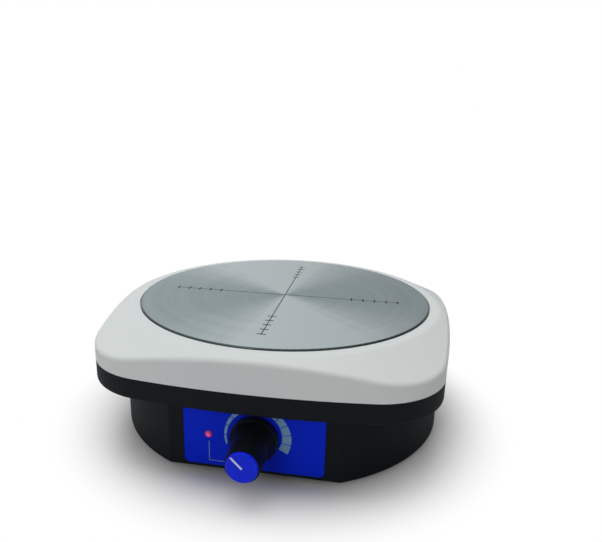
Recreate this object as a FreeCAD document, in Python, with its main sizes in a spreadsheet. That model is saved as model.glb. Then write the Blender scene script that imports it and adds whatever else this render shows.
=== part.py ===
"""Magnetic stirrer: a rounded-square cover with a steel plate, on a drum-shaped housing with a speed knob.

Millimetres, +Z up, and the knob points along -Y. The origin is where the stirring axis meets the table.
"""

import FreeCAD
import Part
import Sketcher
import math
import os
from FreeCAD import Placement, Rotation, Vector

doc = FreeCAD.newDocument("magnetic_stirrer")

# ---------------------------------------------------------------------------------------- sizes
SIZES = {
    # heights above the table
    "footGap": 3.0, "flangeHeight": 38.2, "seamHeight": 48.4, "plateHeight": 66.0,
    # cover and flange outline: four shallow side arcs joined by four corner arcs
    "coverWidth": 176.0, "sideArc": 400.0, "cornerArc": 36.0,
    "wall": 2.5, "cornerSkirt": 7.5, "creaseRound": 2.5, "rimWidth": 5.0, "rimRound": 4.0,
    "flangeRound": 1.3,
    # plate and gasket
    "plateDiameter": 156.0, "plateThickness": 1.5, "plateProud": 0.8, "plateGap": 0.5,
    "plateRound": 0.5, "gasketThickness": 0.5, "ledgeWidth": 6.0,
    # drum
    "drumDiameter": 173.0, "panelDistance": 76.5, "panelRound": 3.0, "floorThickness": 2.5,
    # front label, lamp and knob
    "labelWidth": 66.0, "labelLength": 33.0, "labelRise": 1.6, "labelCorner": 2.5,
    "labelThickness": 0.5, "labelRecess": 0.3, "labelPlay": 0.2,
    "lampDiameter": 3.4, "lampSide": 21.1, "lampRise": 17.6, "lampProud": 0.9, "lampDome": 0.6,
    "lampFlange": 4.8, "lampFlangeThickness": 1.2, "lampWire": 0.9, "lampWireReach": 7.0,
    "knobSide": 0.8, "knobRise": 18.7, "knobReach": 24.0, "knobGap": 0.6,
    "skirtDiameter": 22.2, "skirtThickness": 4.4, "skirtRound": 0.5, "flareLength": 5.6,
    "knobBase": 16.9, "knobTip": 15.6, "capDiameter": 14.2, "capThickness": 1.5,
    "shaftDiameter": 6.0, "bushWall": 0.5,
    "bushLength": 4.3, "potDiameter": 17.0, "potDepth": 8.0, "potWall": 1.0, "potBack": 1.2,
    "potPinPitch": 4.0, "nutAcross": 10.0, "nutThickness": 2.0, "colletDiameter": 9.5,
    "colletThread": 8.0, "colletNut": 11.0, "colletNutThickness": 2.6,
    # fasteners
    "screwDiameter": 3.0, "screwHead": 5.6, "screwHeadHeight": 2.0, "holeClearance": 0.2,
    "coverScrewSpacing": 136.0, "coverScrewLength": 12.0, "bossDiameter": 8.0,
    "bracketScrewLength": 13.0, "boardScrewLength": 4.6,
    "crossLength": 2.6, "crossWidth": 0.7, "crossDepth": 1.0, "crossOverrun": 0.1,
    "headPlay": 0.8, "postOverlap": 0.5, "boardPost": 6.0,
    # feet
    "footDiameter": 18.0, "footRecess": 1.0, "footPlay": 0.2, "footSpacingX": 92.0, "footSpacingY": 88.0,
    "footScrewLength": 7.0,
    # motor and its bracket
    "motorDiameter": 36.0, "motorTop": 42.0, "motorLength": 28.0, "canWall": 1.0, "endCap": 3.0,
    "motorShaft": 4.0, "runningGap": 0.04, "bearingDiameter": 9.0, "bearingLength": 4.0,
    "bearingBoss": 13.0, "fieldThickness": 2.5, "armatureGap": 0.7, "commutatorDiameter": 8.0,
    "bracketThickness": 2.0, "bracketLength": 76.0, "bracketWidth": 52.0,
    "pillarSpacingX": 64.0, "pillarSpacingY": 40.0, "damperThickness": 3.0, "motorScrewSpacing": 25.0,
    # magnet rotor
    "rotorDiameter": 72.0, "rotorGap": 2.5, "magnetProud": 0.5, "magnetDiameter": 18.0,
    "magnetThickness": 9.5, "magnetSpacing": 44.0, "yokeThickness": 2.0, "yokeWidth": 24.0,
    "hubDiameter": 10.0, "hubFlange": 22.0, "hubFlangeThickness": 2.0, "hubScrewSpacing": 16.0,
    # control board
    "boardLength": 74.0, "boardWidth": 34.0, "boardThickness": 1.6, "boardHeight": 9.0,
    "boardCentre": 50.0, "boardHoleInset": 4.0, "wireDiameter": 1.4,
    # power inlet
    "jackDiameter": 8.0, "jackFlange": 11.0, "jackFlangeThickness": 1.5, "jackRise": 18.0,
    "jackBore": 5.6, "jackPin": 2.0, "jackLength": 17.0, "jackSocket": 9.0, "jackPad": 20.0,
    "inletNut": 11.0, "inletNutThickness": 2.5,
    # plate underneath for ratings
    "ratingWidth": 56.0, "ratingLength": 28.0, "ratingThickness": 0.3,
}

sheet = doc.addObject("Spreadsheet::Sheet", "sizes")
for row, (alias, number) in enumerate(SIZES.items(), 1):
    sheet.set(f"A{row}", alias)
    sheet.set(f"B{row}", str(number))
    sheet.setAlias(f"B{row}", alias)
doc.recompute()


class Size:
    """A length with the spreadsheet expression that gives it, so a sum of sizes is an expression too."""

    def __init__(self, number, text):
        self.number = number
        self.text = text

    def combine(self, other, sign, number):
        return Size(number, f"({self.text} {sign} {size(other).text})")

    def __add__(self, other):
        return self.combine(other, "+", self.number + size(other).number)

    def __sub__(self, other):
        return self.combine(other, "-", self.number - size(other).number)

    def __mul__(self, other):
        return self.combine(other, "*", self.number * size(other).number)

    def __truediv__(self, other):
        return self.combine(other, "/", self.number / size(other).number)

    def __radd__(self, other):
        return size(other) + self

    def __rsub__(self, other):
        return size(other) - self

    def __rmul__(self, other):
        return size(other) * self

    def __neg__(self):
        return size(0) - self


def size(value):
    """A Size from a Size, a plain number or the alias of a spreadsheet cell."""
    if isinstance(value, Size):
        return value
    if isinstance(value, str):
        return Size(float(sheet.get(value)), f"sizes.{value}")
    return Size(float(value), f"{float(value):.6f}")


def root(value):
    return Size(math.sqrt(value.number), f"sqrt({value.text})")


def bind(obj, prop, value):
    value = size(value)
    if "." not in prop:
        setattr(obj, prop, value.number)
    obj.setExpression(prop, value.text)


# ------------------------------------------------------------------------- primitives and booleans
AXES = {
    "+Z": Rotation(),
    "-Z": Rotation(Vector(1, 0, 0), 180),
    "+Y": Rotation(Vector(1, 0, 0), -90),
    "-Y": Rotation(Vector(1, 0, 0), 90),
    "+X": Rotation(Vector(0, 1, 0), 90),
}


def place(obj, at, axis="+Z"):
    obj.Placement = Placement(Vector(), AXES[axis])
    for letter, value in zip("xyz", at):
        bind(obj, f"Placement.Base.{letter}", value)
    return obj


def cylinder(name, diameter, height, at, axis="+Z"):
    """A cylinder that starts at the point and runs along the axis."""
    obj = doc.addObject("Part::Cylinder", name)
    bind(obj, "Radius", size(diameter) / 2)
    bind(obj, "Height", height)
    return place(obj, at, axis)


def cone(name, base, tip, height, at, axis="+Z"):
    obj = doc.addObject("Part::Cone", name)
    bind(obj, "Radius1", size(base) / 2)
    bind(obj, "Radius2", size(tip) / 2)
    bind(obj, "Height", height)
    return place(obj, at, axis)


def block(name, lengths, centre):
    """A box centred on the point in X and Y, with its base at the point's height."""
    obj = doc.addObject("Part::Box", name)
    for prop, value in zip(("Length", "Width", "Height"), lengths):
        bind(obj, prop, value)
    corner = (size(centre[0]) - size(lengths[0]) / 2, size(centre[1]) - size(lengths[1]) / 2, centre[2])
    return place(obj, corner)


def hexagon(name, across, height, at, axis="+Z"):
    obj = doc.addObject("Part::Prism", name)
    obj.Polygon = 6
    bind(obj, "Circumradius", size(across) / math.sqrt(3))
    bind(obj, "Height", height)
    return place(obj, at, axis)


def fuse(name, *shapes):
    if len(shapes) == 1:
        return shapes[0]
    obj = doc.addObject("Part::MultiFuse", name)
    obj.Shapes = list(shapes)
    obj.Refine = True
    return obj


def cut(name, base, *tools):
    obj = doc.addObject("Part::Cut", name)
    obj.Base = base
    obj.Tool = fuse(f"{name}_tools", *tools)
    obj.Refine = True
    return obj


def group(name, *shapes):
    """Separate solids that share one node, such as a set of screws."""
    obj = doc.addObject("Part::Compound", name)
    obj.Links = list(shapes)
    return obj


def ring(name, outer, inner, height, at, axis="+Z"):
    tube = cylinder(f"{name}_outer", outer, height, at, axis)
    return cut(name, tube, cylinder(f"{name}_bore", inner, height, at, axis))


def rounded_edges(name, base, radius, wanted):
    """A Part fillet on the edges for which wanted(edge) is true."""
    doc.recompute()
    radius = size(radius).number
    obj = doc.addObject("Part::Fillet", name)
    obj.Base = base
    obj.Edges = [(i, radius, radius) for i, edge in enumerate(base.Shape.Edges, 1) if wanted(edge)]
    return obj


pieces = {}


def piece(node, obj):
    """Names the object as a sub-part: its Label is the name of its node and of its file."""
    obj.Label = node
    pieces[node] = obj
    return obj


def at_corners(spacing_x, spacing_y, centre_y=0):
    """The four points of a rectangle, as (tag, x, y)."""
    for tag_x, sign_x in (("left", -1), ("right", 1)):
        for tag_y, sign_y in (("front", -1), ("back", 1)):
            x = size(spacing_x) * (sign_x / 2)
            y = size(centre_y) + size(spacing_y) * (sign_y / 2)
            yield f"{tag_x}_{tag_y}", x, y


# ------------------------------------------------------------------------- bodies and their sketches
def origin_plane(body, role):
    return next(f for f in body.Origin.OriginFeatures if f.Role == role)


def new_body(name):
    return doc.addObject("PartDesign::Body", name)


def new_sketch(body, name, role="XY_Plane", offset=0):
    sketch = body.newObject("Sketcher::SketchObject", name)
    sketch.AttachmentSupport = [(origin_plane(body, role), "")]
    sketch.MapMode = "FlatFace"
    sketch.AttachmentOffset = Placement(Vector(0, 0, size(offset).number), Rotation())
    sketch.setExpression("AttachmentOffset.Base.z", size(offset).text)
    return sketch


def constrain(sketch, name, value, *arguments):
    """A dimension of the sketch, held to an expression by its name."""
    value = size(value)
    index = sketch.addConstraint(Sketcher.Constraint(*arguments, value.number))
    sketch.renameConstraint(index, name)
    sketch.setExpression(f"Constraints.{name}", value.text)


def polygon_sketch(sketch, points):
    """Straight lines through the points, each held by its distances from the sketch's origin."""
    corners = [Vector(size(x).number, size(y).number, 0) for x, y in points]
    count = len(corners)
    for i in range(count):
        sketch.addGeometry(Part.LineSegment(corners[i], corners[(i + 1) % count]), False)
    for i in range(count):
        sketch.addConstraint(Sketcher.Constraint("Coincident", i, 2, (i + 1) % count, 1))
    for i, (x, y) in enumerate(points):
        for letter, kind, value in (("x", "DistanceX", size(x)), ("y", "DistanceY", size(y))):
            if value.number == 0:
                axis = -2 if letter == "x" else -1
                sketch.addConstraint(Sketcher.Constraint("PointOnObject", i, 1, axis))
            else:
                constrain(sketch, f"{letter}{i}", value, kind, -1, 1, i, 1)
    return sketch


def circle_sketch(sketch, diameter, x=0, y=0):
    x, y = size(x), size(y)
    radius = size(diameter) / 2
    centre = Vector(x.number, y.number, 0)
    index = sketch.addGeometry(Part.Circle(centre, Vector(0, 0, 1), radius.number), False)
    constrain(sketch, f"radius{index}", radius, "Radius", index)
    if x.number == 0 and y.number == 0:
        sketch.addConstraint(Sketcher.Constraint("Coincident", index, 3, -1, 1))
    else:
        constrain(sketch, f"centreX{index}", x, "DistanceX", -1, 1, index, 3)
        constrain(sketch, f"centreY{index}", y, "DistanceY", -1, 1, index, 3)
    return sketch


# the side arcs' centres lie this far from the middle, and the corner arcs' centres this far along each axis
side_reach = size("sideArc") - size("coverWidth") / 2
arc_step = size("sideArc") - "cornerArc"
corner_middle = (root(arc_step * arc_step * 2 - side_reach * side_reach) - side_reach) / 2
corner_reach = corner_middle * math.sqrt(2) + "cornerArc"


def outline_sketch(sketch, inset=0):
    """The rounded square of the cover: side arcs and corner arcs, tangent where they meet."""
    side = size("sideArc") - inset
    corner = size("cornerArc") - inset
    reach = side_reach
    middle = corner_middle.number
    tilt = math.atan2(middle, middle + reach.number)
    for quarter in range(4):
        turn = math.pi / 2 * quarter
        away = Vector(-reach.number * math.cos(turn), -reach.number * math.sin(turn), 0)
        circle = Part.Circle(away, Vector(0, 0, 1), side.number)
        sketch.addGeometry(Part.ArcOfCircle(circle, turn - tilt, turn + tilt), False)
        to_corner = math.pi / 4 + turn
        reach_corner = middle * math.sqrt(2)
        centre = Vector(reach_corner * math.cos(to_corner), reach_corner * math.sin(to_corner), 0)
        circle = Part.Circle(centre, Vector(0, 0, 1), corner.number)
        sketch.addGeometry(Part.ArcOfCircle(circle, turn + tilt, turn + math.pi / 2 - tilt), False)
    for i in range(8):
        sketch.addConstraint(Sketcher.Constraint("Tangent", i, 2, (i + 1) % 8, 1))
    for i in (2, 4, 6):
        sketch.addConstraint(Sketcher.Constraint("Equal", 0, i))
        sketch.addConstraint(Sketcher.Constraint("Equal", 1, i + 1))
    constrain(sketch, "sideRadius", side, "Radius", 0)
    constrain(sketch, "cornerRadius", corner, "Radius", 1)
    for i, axis, kind, sign in ((0, -1, "DistanceX", -1), (2, -2, "DistanceY", -1),
                                (4, -1, "DistanceX", 1), (6, -2, "DistanceY", 1)):
        sketch.addConstraint(Sketcher.Constraint("PointOnObject", i, 3, axis))
        constrain(sketch, f"reach{i}", reach * sign, kind, -1, 1, i, 3)
    return sketch


def drum_sketch(sketch, inset=0):
    """The drum's outline: a circle with a flat at the front for the control panel."""
    radius = size("drumDiameter") / 2 - inset
    front = size("panelDistance") - inset
    half = math.sqrt(radius.number**2 - front.number**2)
    start = math.atan2(-front.number, half)
    circle = Part.Circle(Vector(), Vector(0, 0, 1), radius.number)
    sketch.addGeometry(Part.ArcOfCircle(circle, start, math.pi - start), False)
    left, right = Vector(-half, -front.number, 0), Vector(half, -front.number, 0)
    sketch.addGeometry(Part.LineSegment(left, right), False)
    sketch.addConstraint(Sketcher.Constraint("Coincident", 0, 2, 1, 1))
    sketch.addConstraint(Sketcher.Constraint("Coincident", 0, 1, 1, 2))
    sketch.addConstraint(Sketcher.Constraint("Coincident", 0, 3, -1, 1))
    sketch.addConstraint(Sketcher.Constraint("Horizontal", 1))
    constrain(sketch, "radius", radius, "Radius", 0)
    constrain(sketch, "front", -front, "DistanceY", -1, 1, 1, 1)
    return sketch


def pad(body, sketch, length, up=True):
    feature = body.newObject("PartDesign::Pad", f"{sketch.Name}_pad")
    feature.Profile = sketch
    bind(feature, "Length", length)
    feature.Reversed = not up
    doc.recompute()
    return feature


def pocket(body, sketch, length, up=False):
    """Cuts along the sketch's normal if up is true, and against it otherwise."""
    feature = body.newObject("PartDesign::Pocket", f"{sketch.Name}_pocket")
    feature.Profile = sketch
    bind(feature, "Length", length)
    feature.Reversed = up
    doc.recompute()
    return feature


def turn(body, sketch, kind):
    """A Revolution or a Groove of the sketch about its vertical axis."""
    feature = body.newObject(f"PartDesign::{kind}", f"{sketch.Name}_{kind.lower()}")
    feature.Profile = sketch
    feature.ReferenceAxis = (sketch, ["V_Axis"])
    feature.Angle = 360
    doc.recompute()
    return feature


def round_off(body, feature, radius, wanted):
    """A fillet on the edges of the body for which wanted(edge) is true."""
    names = [f"Edge{i}" for i, edge in enumerate(feature.Shape.Edges, 1) if wanted(edge)]
    fillet = body.newObject("PartDesign::Fillet", f"{feature.Name}_round")
    fillet.Base = (feature, names)
    bind(fillet, "Radius", radius)
    doc.recompute()
    return fillet


def lies_at(edge, z, tolerance=1e-3):
    box = edge.BoundBox
    return abs(box.ZMin - z) < tolerance and abs(box.ZMax - z) < tolerance


# ------------------------------------------------------------------------------ heights used by many
wall = size("wall")
plate_under = size("plateHeight") - "plateThickness"
seat_height = plate_under - "gasketThickness"
rim_height = size("plateHeight") - "plateProud"
recess_diameter = size("plateDiameter") + size("plateGap") * 2
rim_diameter = recess_diameter + size("rimWidth") * 2
cover_slope = (rim_height - "seamHeight" - "cornerSkirt") / (corner_reach - rim_diameter / 2)
opening_diameter = recess_diameter - size("ledgeWidth") * 2
floor_under = size("footGap")
floor_top = floor_under + "floorThickness"
screw_bite = 0.04
boss_hole = size("screwDiameter") + screw_bite
screw_hole = size("screwDiameter") + size("holeClearance") * 2
cover_screw_seat = size("flangeHeight") + wall
overrun = 1
long_cut = 20


# ----------------------------------------------------------------------------------------- top cover
def build_top_cover():
    body = new_body("top_cover_body")
    pad(body, outline_sketch(new_sketch(body, "cover_outline", offset="seamHeight")),
        rim_height - "seamHeight")

    # the slope from the rim down to the sides, the same all round, so it meets the corners lower down
    far = size("coverWidth")
    slope = new_sketch(body, "cover_slope", "XZ_Plane")
    drop = (far - rim_diameter / 2) * cover_slope
    clear = rim_height + overrun
    polygon_sketch(slope, [
        (rim_diameter / 2, rim_height), (far, rim_height - drop),
        (far, clear), (rim_diameter / 2, clear),
    ])
    sloped = turn(body, slope, "Groove")

    def is_crease(edge):
        ends = (size("seamHeight").number, rim_height.number)
        return edge.Curve.TypeId != "Part::GeomLine" and not any(lies_at(edge, z) for z in ends)

    creased = round_off(body, sloped, "creaseRound", is_crease)
    round_off(body, creased, "rimRound", lambda edge: lies_at(edge, rim_height.number))

    # the seat that holds the gasket and the plate, open in the middle for the magnets
    pocket(body, circle_sketch(new_sketch(body, "plate_recess", offset=rim_height), recess_diameter),
           rim_height - seat_height)
    pocket(body, circle_sketch(new_sketch(body, "plate_opening", offset=rim_height), opening_diameter),
           rim_height - "seamHeight")

    # the hollow under the slope, and the shallow hollow that runs out to the side walls
    hollow = new_sketch(body, "cover_hollow", "XZ_Plane")
    hollow_radius = size("coverWidth") / 2 - wall
    step = seat_height - wall
    edge_roof = rim_height - (hollow_radius - rim_diameter / 2) * cover_slope - wall * 1.6
    inner = opening_diameter / 2 - overrun
    polygon_sketch(hollow, [
        (inner, "seamHeight"), (hollow_radius, "seamHeight"),
        (hollow_radius, edge_roof), (recess_diameter / 2 - wall, step), (inner, step),
    ])
    turn(body, hollow, "Groove")
    pocket(body, outline_sketch(new_sketch(body, "cover_skirt", offset="seamHeight"), wall),
           wall * 1.4, up=True)

    # the bosses that the cover screws bite into, each with a blind hole
    boss_foot = size("flangeHeight") + wall * 2
    posts = new_sketch(body, "cover_bosses", offset=boss_foot)
    holes = new_sketch(body, "cover_boss_holes", offset=boss_foot)
    for _, x, y in at_corners("coverScrewSpacing", "coverScrewSpacing"):
        circle_sketch(posts, "bossDiameter", x, y)
        circle_sketch(holes, boss_hole, x, y)
    boss_reach = size("coverScrewSpacing") / math.sqrt(2) + size("bossDiameter") / 2
    boss_top = rim_height - (boss_reach - rim_diameter / 2) * cover_slope - wall / 2
    pad(body, posts, boss_top - boss_foot)
    pocket(body, holes, cover_screw_seat + "coverScrewLength" + overrun - boss_foot, up=True)
    piece("top_cover", body)


# ------------------------------------------------------------------------------------- lower housing
panel_y = -size("panelDistance")
panel_inside = panel_y + wall
label_face = panel_y + "labelRecess" - "labelThickness"
bush_diameter = size("shaftDiameter") + size("bushWall") * 2
label_foot = floor_under + "labelRise"
knob_x = size("knobSide")
knob_z = floor_under + "knobRise"
lamp_x = -size("lampSide")
lamp_z = floor_under + "lampRise"
jack_z = floor_under + "jackRise"
jack_face = size("drumDiameter") / 2 - 0.5
jack_pad_face = jack_face - wall - 0.6
jack_pad_depth = wall + 0.4
pillar_top = size("motorTop") - "damperThickness"
board_top = size("boardHeight") + "boardThickness"
board_y = -size("boardCentre")
board_hole_x = size("boardLength") - size("boardHoleInset") * 2
board_hole_y = size("boardWidth") - size("boardHoleInset") * 2


def posts_with_holes(name, corners, post, post_base, post_height, hole, hole_base, hole_height):
    """Round posts at the points, and the holes to cut in them."""
    posts = []
    holes = []
    for tag, x, y in corners:
        posts.append(cylinder(f"{name}_post_{tag}", post, post_height, (x, y, post_base)))
        holes.append(cylinder(f"{name}_hole_{tag}", hole, hole_height, (x, y, hole_base)))
    return posts, holes


def build_cover_tray():
    """The flange under the cover: a shallow tray of the cover's outline, open over the drum."""
    body = new_body("tray_body")
    flange = pad(body, outline_sketch(new_sketch(body, "flange_outline", offset="flangeHeight")),
                 size("seamHeight") - "flangeHeight")
    outline_radii = [size("sideArc").number, size("cornerArc").number]

    def is_flange_edge(edge):
        if not lies_at(edge, size("flangeHeight").number):
            return False
        return any(abs(edge.Curve.Radius - radius) < 1e-3 for radius in outline_radii)

    round_off(body, flange, "flangeRound", is_flange_edge)
    pocket(body, outline_sketch(new_sketch(body, "flange_hollow", offset="seamHeight"), wall),
           size("seamHeight") - cover_screw_seat)
    pocket(body, drum_sketch(new_sketch(body, "flange_opening", offset=cover_screw_seat), wall), wall)
    corners = list(at_corners("coverScrewSpacing", "coverScrewSpacing"))
    base = cover_screw_seat - "postOverlap"
    pads, holes = posts_with_holes("cover", corners, size("bossDiameter") + 2, base, wall + "postOverlap",
                                   screw_hole, base, wall + overrun)
    wells = [cylinder(f"cover_counterbore_{tag}", size("screwHead") + "headPlay", wall + overrun,
                      (x, y, size("flangeHeight") - overrun)) for tag, x, y in corners]
    shell = fuse("cover_tray_shell", body, *pads)
    piece("cover_tray", cut("cover_tray_cut", shell, *holes, *wells))


def build_lower_housing():
    body = new_body("housing_body")
    drum = pad(body, drum_sketch(new_sketch(body, "drum_outline", offset=floor_under)),
               size("flangeHeight") - floor_under)
    round_off(body, drum, "panelRound",
              lambda edge: edge.BoundBox.DiagonalLength - edge.BoundBox.ZLength < 1e-3
              and edge.BoundBox.ZLength > 10)
    pocket(body, drum_sketch(new_sketch(body, "drum_hollow", offset="flangeHeight"), wall),
           size("flangeHeight") - floor_top)

    # posts for the feet, the board and the motor bracket, sunk a little into the floor
    base = floor_top - "postOverlap"
    foot_post = size("footScrewLength") + "footRecess" - "floorThickness" + 1.5
    feet = list(at_corners("footSpacingX", "footSpacingY"))
    foot_posts, foot_holes = posts_with_holes("foot", feet, "bossDiameter", base, foot_post + "postOverlap",
                                              boss_hole, floor_under, "footScrewLength")
    foot_recesses = [cylinder(f"foot_recess_{tag}", size("footDiameter") + size("footPlay") * 2,
                              size("footRecess") + overrun, (x, y, floor_under - overrun))
                     for tag, x, y in feet]
    board_posts, board_holes = posts_with_holes(
        "board", at_corners(board_hole_x, board_hole_y, board_y), "boardPost", base,
        size("boardHeight") - base, boss_hole, floor_top, size("boardHeight") - floor_top)
    thread = size("bracketScrewLength") - "bracketThickness" - "damperThickness" + overrun
    pillars, pillar_holes = posts_with_holes(
        "pillar", at_corners("pillarSpacingX", "pillarSpacingY"), "bossDiameter", base,
        pillar_top - base, boss_hole, pillar_top - thread, thread + overrun)
    raised = foot_posts + board_posts + pillars
    holes = foot_holes + foot_recesses + board_holes + pillar_holes

    # the flat pad inside the back wall, and the hole and spot face for the power inlet
    raised.append(cylinder("jack_pad", "jackPad", jack_pad_depth, (0, jack_pad_face, jack_z), "+Y"))
    holes.append(cylinder("jack_spot_face", size("jackFlange") + 3, 3, (0, jack_face, jack_z), "+Y"))
    holes.append(cylinder("jack_hole", size("jackDiameter") + 0.3, long_cut,
                          (0, jack_face - long_cut / 2, jack_z), "+Y"))

    # the panel: a shallow recess for the label, and holes for the knob's bush and the lamp
    depth = size("labelRecess") + overrun
    play = size("labelPlay") * 2
    holes.append(block("label_recess", (size("labelWidth") + play, depth, size("labelLength") + play),
                       (0, panel_y + "labelRecess" - depth / 2, label_foot - "labelPlay")))
    before = panel_y - overrun
    through = wall + overrun * 2
    holes.append(cylinder("bush_hole", bush_diameter + "labelPlay", through, (knob_x, before, knob_z), "+Y"))
    holes.append(cylinder("lamp_hole", size("lampDiameter") + "labelPlay", through,
                          (lamp_x, before, lamp_z), "+Y"))
    shell = fuse("housing_shell", body, *raised)
    piece("lower_housing", cut("lower_housing_cut", shell, *holes))


# ------------------------------------------------------------------------------------ plate and feet
def build_plate():
    body = new_body("plate_body")
    disc = pad(body, circle_sketch(new_sketch(body, "plate_disc", offset=plate_under), "plateDiameter"),
               "plateThickness")
    top = size("plateHeight").number
    round_off(body, disc, "plateRound", lambda edge: lies_at(edge, top))
    piece("top_plate", body)
    piece("plate_gasket", ring("gasket", size("plateDiameter") - 1, opening_diameter + 1,
                               "gasketThickness", (0, 0, seat_height)))


def screw(name, length, at, axis):
    """A pan-head screw whose head sits outside the point, and whose shank runs along the axis."""
    x, y, z = at
    points_up = axis == "+Z"
    head_end = size(z) + size("screwHeadHeight") * (-1 if points_up else 1)
    whole = fuse(f"{name}_whole", cylinder(f"{name}_shank", "screwDiameter", length, at, axis),
                 cylinder(f"{name}_head", "screwHead", "screwHeadHeight", (x, y, head_end), axis))
    cross_foot = head_end - "crossOverrun" if points_up else head_end + "crossOverrun" - "crossDepth"
    cross = [block(f"{name}_cross_a", ("crossLength", "crossWidth", "crossDepth"), (x, y, cross_foot)),
             block(f"{name}_cross_b", ("crossWidth", "crossLength", "crossDepth"), (x, y, cross_foot))]
    return cut(name, whole, *cross)


def build_screws_and_feet():
    corners = list(at_corners("coverScrewSpacing", "coverScrewSpacing"))
    piece("cover_screws", group("cover_screw_set", *[
        screw(f"cover_screw_{tag}", "coverScrewLength", (x, y, cover_screw_seat), "+Z")
        for tag, x, y in corners]))
    feet = []
    foot_screws = []
    foot_top = floor_under + "footRecess"
    counterbore = size("screwHeadHeight") + 0.4
    for tag, x, y in at_corners("footSpacingX", "footSpacingY"):
        pad_shape = fuse(f"foot_shape_{tag}",
                         cone(f"foot_lower_{tag}", size("footDiameter") - 2, "footDiameter", 1, (x, y, 0)),
                         cylinder(f"foot_upper_{tag}", "footDiameter", foot_top - 1, (x, y, 1)))
        feet.append(cut(f"foot_{tag}", pad_shape,
                        cylinder(f"foot_bore_{tag}", boss_hole, foot_top + overrun * 2, (x, y, -overrun)),
                        cylinder(f"foot_well_{tag}", size("screwHead") + "headPlay", counterbore + overrun,
                                 (x, y, -overrun))))
        foot_screws.append(screw(f"foot_screw_{tag}", size("footScrewLength") - 0.5,
                                 (x, y, counterbore), "+Z"))
    piece("rubber_feet", group("foot_set", *feet))
    piece("foot_screws", group("foot_screw_set", *foot_screws))
    piece("rating_plate", block("rating", ("ratingWidth", "ratingLength", "ratingThickness"),
                                (0, 0, floor_under - "ratingThickness")))


# --------------------------------------------------------------------------- label, lamp and control
def build_label_and_lamp():
    body = new_body("label_body")
    outline = new_sketch(body, "label_outline", "XZ_Plane", -(panel_y + "labelRecess"))
    half = size("labelWidth") / 2
    top = label_foot + "labelLength"
    polygon_sketch(outline, [(-half, label_foot), (half, label_foot), (half, top), (-half, top)])
    circle_sketch(outline, bush_diameter + 0.4, knob_x, knob_z)
    circle_sketch(outline, size("lampDiameter") + "labelPlay", lamp_x, lamp_z)
    sheet_pad = pad(body, outline, "labelThickness")
    foot = label_foot.number
    round_off(body, sheet_pad, "labelCorner",
              lambda edge: edge.BoundBox.XLength + edge.BoundBox.ZLength < 1e-3
              and abs(edge.BoundBox.ZMin - foot) < 1e-3)
    piece("front_label", body)

    dome_base = label_face - "lampProud" + "lampDome"
    stem = cylinder("lamp_stem", "lampDiameter", panel_inside - dome_base,
                    (lamp_x, panel_inside, lamp_z), "-Y")
    dome = cone("lamp_dome", "lampDiameter", size("lampDiameter") - 1.6, "lampDome",
                (lamp_x, dome_base, lamp_z), "-Y")
    flange = cylinder("lamp_flange", "lampFlange", "lampFlangeThickness",
                      (lamp_x, panel_inside, lamp_z), "+Y")
    piece("status_lamp", fuse("lamp_lens", stem, dome, flange))
    base = panel_inside + "lampFlangeThickness"
    bend = base + "lampWireReach"
    wires = []
    for tag, side in (("left", -1), ("right", 1)):
        x = lamp_x + side
        wires.append(wire(f"lamp_wire_{tag}", "lampWire", [(x, base, lamp_z), (x, bend, lamp_z),
                                                           (x, bend, board_top)]))
    piece("lamp_leads", group("lamp_wires", *wires))


def wire(name, diameter, points):
    """A wire along straight runs parallel to the axes, with a ball at each bend."""
    parts = []
    for i, (start, end) in enumerate(zip(points, points[1:])):
        start, end = [size(p) for p in start], [size(p) for p in end]
        runs = [(b.number - a.number, letter) for a, b, letter in zip(start, end, "XYZ")]
        step, letter = max(runs, key=lambda run: abs(run[0]))
        index = "XYZ".index(letter)
        low, high = (start, end) if step > 0 else (end, start)
        parts.append(cylinder(f"{name}_run{i}", diameter, high[index] - low[index], low, f"+{letter}"))
        if i:
            ball = doc.addObject("Part::Sphere", f"{name}_bend{i}")
            bind(ball, "Radius", size(diameter) / 2)
            parts.append(place(ball, start))
    return fuse(name, *parts)


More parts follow.
